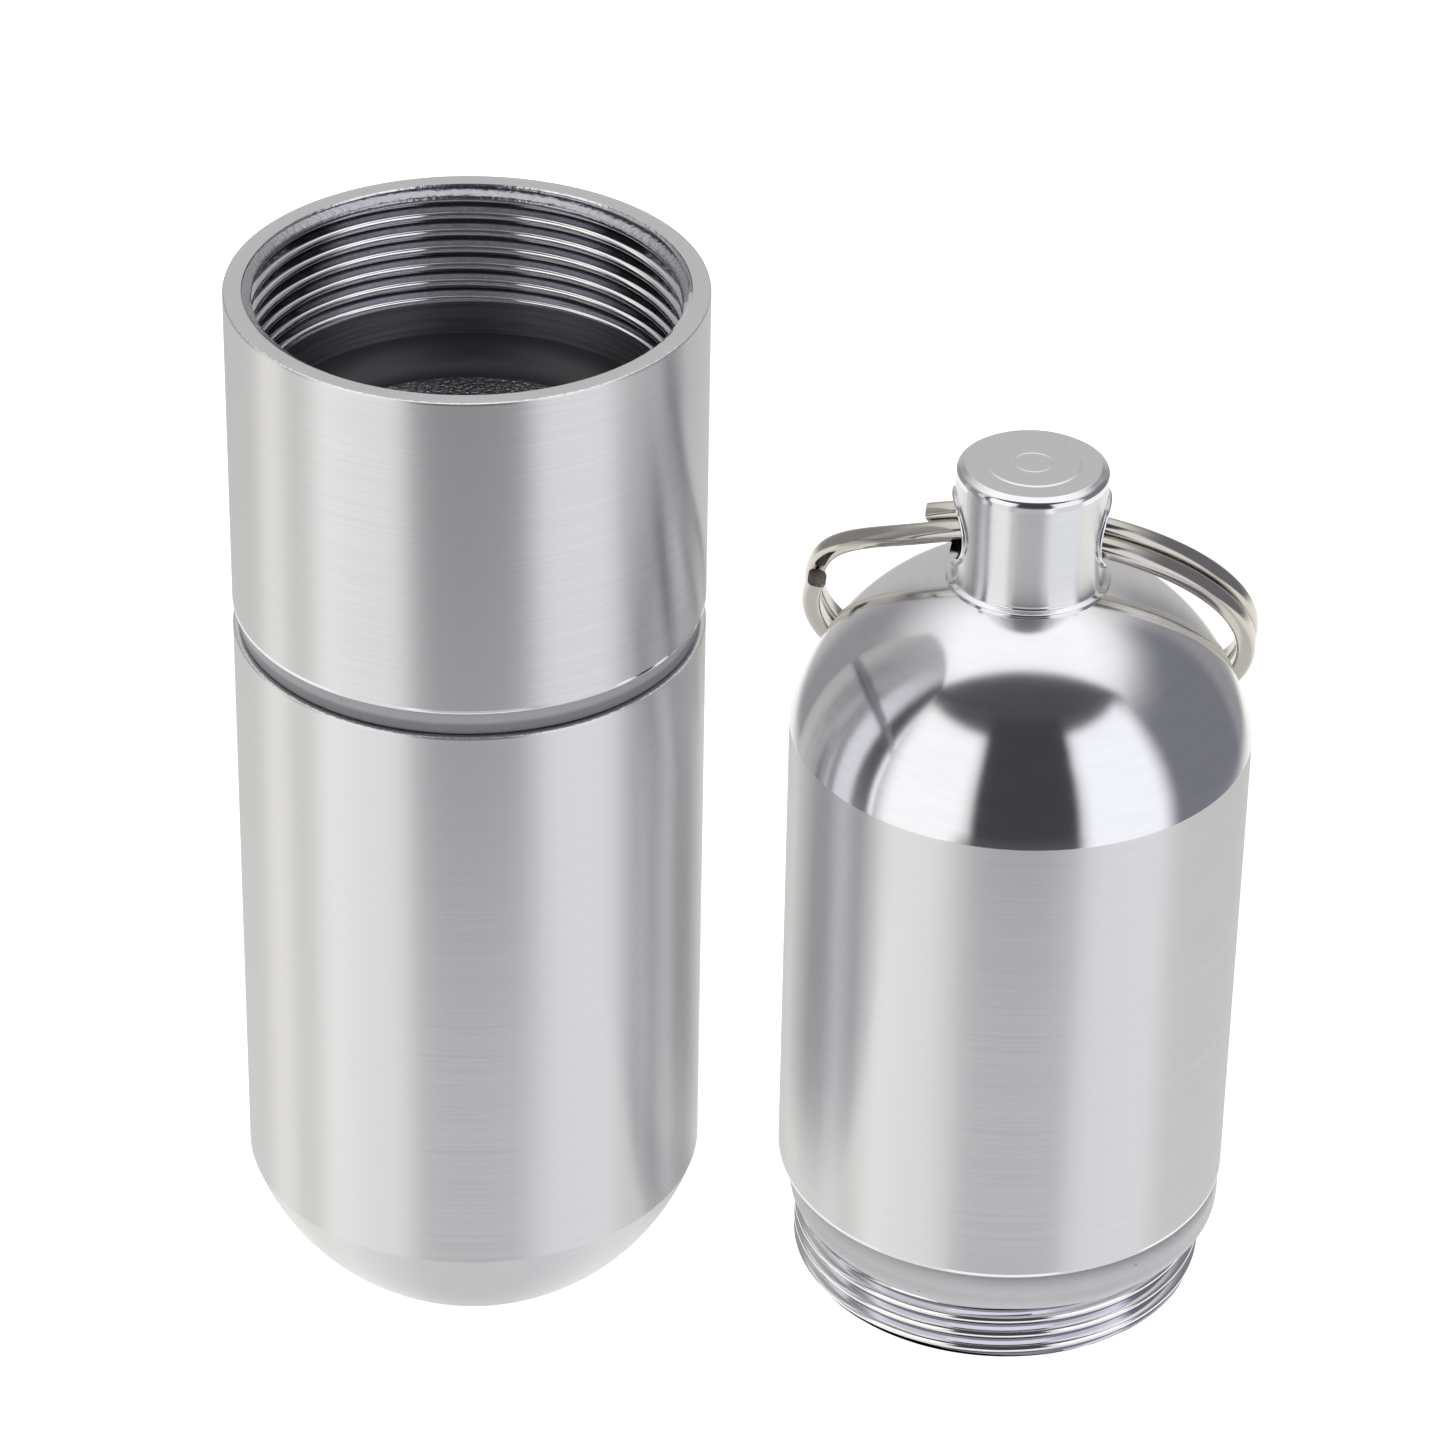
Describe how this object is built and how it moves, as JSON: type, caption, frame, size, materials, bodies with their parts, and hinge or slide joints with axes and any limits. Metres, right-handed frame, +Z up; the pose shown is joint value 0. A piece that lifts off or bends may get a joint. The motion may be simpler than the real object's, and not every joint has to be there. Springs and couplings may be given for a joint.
{
  "type": "screw capsule with key ring",
  "caption": "Turned aluminium screw capsule for pills or matches, opened, with its domed cap, cross-drilled knob and split key ring standing beside it.",
  "frame": {"origin": "centre of the lower capsule's small flat foot, on the surface it stands on", "axes": "+Z up along the capsule's axis, +X towards the cap that stands beside it, and +Y to the side that the cap's key ring leans on"},
  "size_m": [0.0551, 0.0301, 0.062],
  "materials": {
    "lower_capsule": "fine turned satin",
    "middle_sleeve": "fine turned satin, bright thread",
    "cap_shell": "satin barrel, polished dome and knob",
    "seam_o_ring": "cloudy clear silicone",
    "cap_o_ring": "cloudy clear silicone",
    "split_ring": "bright nickel plate"
  },
  "bodies": {
    "lower_capsule": {"lower_capsule": "lower_capsule"},
    "seam_o_ring": {"seam_o_ring": "seam_o_ring"},
    "middle_sleeve": {"middle_sleeve": "middle_sleeve"},
    "cap_o_ring": {"cap_o_ring": "cap_o_ring"},
    "cap_shell": {"cap_shell": "cap_shell"},
    "split_ring": {"split_ring": "split_ring"}
  },
  "joints": [
    {"name": "sleeve_lift", "type": "slide", "parent": "lower_capsule", "child": "seam_o_ring", "axis": [0, 0, 1], "range_m": [0, 0.0051]},
    {"name": "sleeve_turn", "type": "hinge", "parent": "seam_o_ring", "child": "middle_sleeve", "pos_m": [0, 0, 0.0432], "axis": [0, 0, 1], "range_deg": [0, 1800]},
    {"name": "cap_lift", "type": "slide", "parent": "lower_capsule", "child": "cap_o_ring", "axis": [0, 0, 1], "range_m": [0, 0.075]},
    {"name": "cap_turn", "type": "hinge", "parent": "cap_o_ring", "child": "cap_shell", "pos_m": [0.02957, 0.00273, 0], "axis": [0, 0, 1], "continuous": true},
    {"name": "ring_swing", "type": "hinge", "parent": "cap_shell", "child": "split_ring", "pos_m": [0.02957, 0.00273, 0.0468], "axis": [1, 0, 0], "range_deg": [0, 285]}
  ],
  "couplings": [
    {"joint": "sleeve_lift", "follows": "sleeve_turn", "m_per_rad": 0.00015915}
  ]
}
